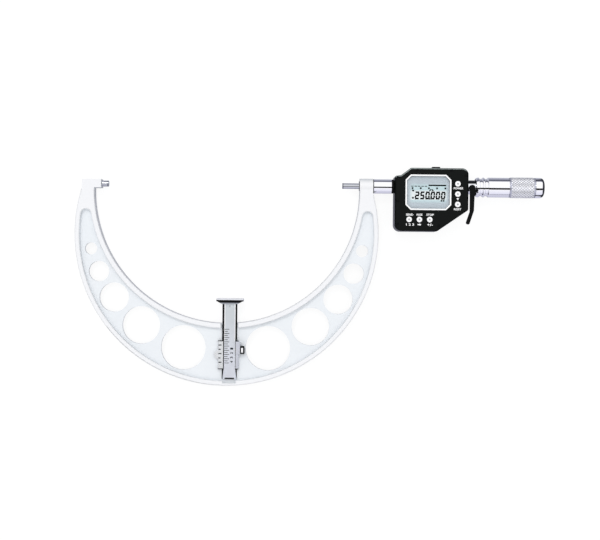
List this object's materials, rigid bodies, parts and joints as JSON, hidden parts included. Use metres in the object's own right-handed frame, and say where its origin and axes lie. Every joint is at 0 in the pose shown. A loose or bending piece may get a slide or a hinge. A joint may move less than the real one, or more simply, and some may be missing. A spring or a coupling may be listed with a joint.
{
  "type": "outside micrometer",
  "caption": "Large outside micrometer with a digital display, a white perforated crescent frame, a knurled ratchet thimble, a spindle lock lever and a sliding stop in the throat.",
  "frame": {"origin": "centre of the anvil's measuring face", "axes": "+X along the measuring line from the anvil to the spindle and thimble, +Y away from the frame's throat in the plane of the frame, +Z out of the display"},
  "size_m": [0.5004, 0.2357, 0.0272],
  "materials": {
    "frame_paint": "satin white paint",
    "carbide": "ground",
    "chrome": "satin",
    "steel": "satin",
    "dark_plastic": "fine matte",
    "light_plastic": "smooth",
    "button_plastic": "smooth",
    "display_glass": "clear",
    "display_panel": "grey green liquid crystal",
    "circuit": "lacquered",
    "alloy": "machined",
    "seal_rubber": "matte",
    "keypad_rubber": "matte",
    "brass": "turned",
    "black_steel": "blackened",
    "connector_plastic": "matte"
  },
  "bodies": {
    "instrument": {"frame": "frame_paint", "anvil": "steel", "anvil_carbide_tip": "carbide", "barrel": "chrome", "barrel_ring": "seal_rubber", "housing_rear": "dark_plastic", "housing_seal": "seal_rubber", "housing_front": "dark_plastic", "cover_screws": "black_steel", "window_bezel": "light_plastic", "display_window": "display_glass", "lcd_panel": "display_panel", "circuit_board": "circuit", "board_screws": "steel", "encoder_chassis": "alloy", "chassis_screws": "steel", "encoder_stator": "circuit", "battery": "steel", "battery_contact": "brass", "data_connector": "connector_plastic", "keypad_membrane": "keypad_rubber", "thread_sleeve": "steel", "adjusting_nut": "steel", "lock_pad": "brass", "stop_guide": "steel", "stop_guide_screws": "steel", "stop_clamp_shoe": "brass"},
    "encoder_rotor": {"encoder_rotor": "brass"},
    "spindle_group": {"spindle": "steel", "spindle_carbide_tip": "carbide", "thimble": "chrome", "ratchet_hub": "steel", "ratchet_screw": "steel"},
    "ratchet_group": {"ratchet_sleeve": "chrome", "end_cap": "chrome", "ratchet_disc": "steel", "ratchet_spring": "steel"},
    "lock_group": {"lock_lever": "black_steel", "lock_stud": "steel"},
    "stop_group": {"stop_blade": "steel", "stop_head": "steel", "stop_head_pin": "steel"},
    "clamp_group": {"stop_clamp_screw": "black_steel"},
    "battery_cap_group": {"battery_cap": "dark_plastic", "battery_seal": "seal_rubber"},
    "port_cover_group": {"data_port_cover": "seal_rubber"},
    "button_power_group": {"button_power": "button_plastic"},
    "button_down_group": {"button_down": "button_plastic"},
    "button_reset_group": {"button_reset": "button_plastic"},
    "button_send_group": {"button_send": "button_plastic"},
    "button_mode_group": {"button_mode": "button_plastic"},
    "button_stop_group": {"button_stop": "button_plastic"}
  },
  "joints": [
    {"name": "thimble_turn", "type": "hinge", "parent": "instrument", "child": "encoder_rotor", "pos_m": [0.355, 0, 0], "axis": [1, 0, 0], "range_deg": [0, 18000]},
    {"name": "spindle_travel", "type": "slide", "parent": "encoder_rotor", "child": "spindle_group", "axis": [1, 0, 0], "range_m": [0, 0.025]},
    {"name": "ratchet_turn", "type": "hinge", "parent": "spindle_group", "child": "ratchet_group", "pos_m": [0.445, 0, 0], "axis": [1, 0, 0], "continuous": true},
    {"name": "lock_lever_swing", "type": "hinge", "parent": "instrument", "child": "lock_group", "pos_m": [0.3874, -0.0015, 0.012], "axis": [0, 0, 1], "range_deg": [0, 60]},
    {"name": "stop_slide", "type": "slide", "parent": "instrument", "child": "stop_group", "axis": [0, 1, 0], "range_m": [-0.016, 0.018]},
    {"name": "stop_clamp_turn", "type": "hinge", "parent": "instrument", "child": "clamp_group", "pos_m": [0.145, -0.1763, 0.00665], "axis": [1, 0, 0], "range_deg": [0, 180]},
    {"name": "battery_cap_turn", "type": "hinge", "parent": "instrument", "child": "battery_cap_group", "pos_m": [0.331, -0.0295, -0.0118], "axis": [0, 0, 1], "range_deg": [0, 60]},
    {"name": "data_port_cover_pull", "type": "slide", "parent": "instrument", "child": "port_cover_group", "axis": [0, 1, 0], "range_m": [0, 0.015]},
    {"name": "button_power_press", "type": "slide", "parent": "instrument", "child": "button_power_group", "axis": [0, 0, -1], "range_m": [0, 0.0005], "stiffness_N_per_m": 200},
    {"name": "button_down_press", "type": "slide", "parent": "instrument", "child": "button_down_group", "axis": [0, 0, -1], "range_m": [0, 0.0005], "stiffness_N_per_m": 200},
    {"name": "button_reset_press", "type": "slide", "parent": "instrument", "child": "button_reset_group", "axis": [0, 0, -1], "range_m": [0, 0.0005], "stiffness_N_per_m": 200},
    {"name": "button_send_press", "type": "slide", "parent": "instrument", "child": "button_send_group", "axis": [0, 0, -1], "range_m": [0, 0.0005], "stiffness_N_per_m": 200},
    {"name": "button_mode_press", "type": "slide", "parent": "instrument", "child": "button_mode_group", "axis": [0, 0, -1], "range_m": [0, 0.0005], "stiffness_N_per_m": 200},
    {"name": "button_stop_press", "type": "slide", "parent": "instrument", "child": "button_stop_group", "axis": [0, 0, -1], "range_m": [0, 0.0005], "stiffness_N_per_m": 200}
  ],
  "couplings": [
    {"joint": "thimble_turn", "follows": "spindle_travel", "rad_per_m": 12566}
  ]
}
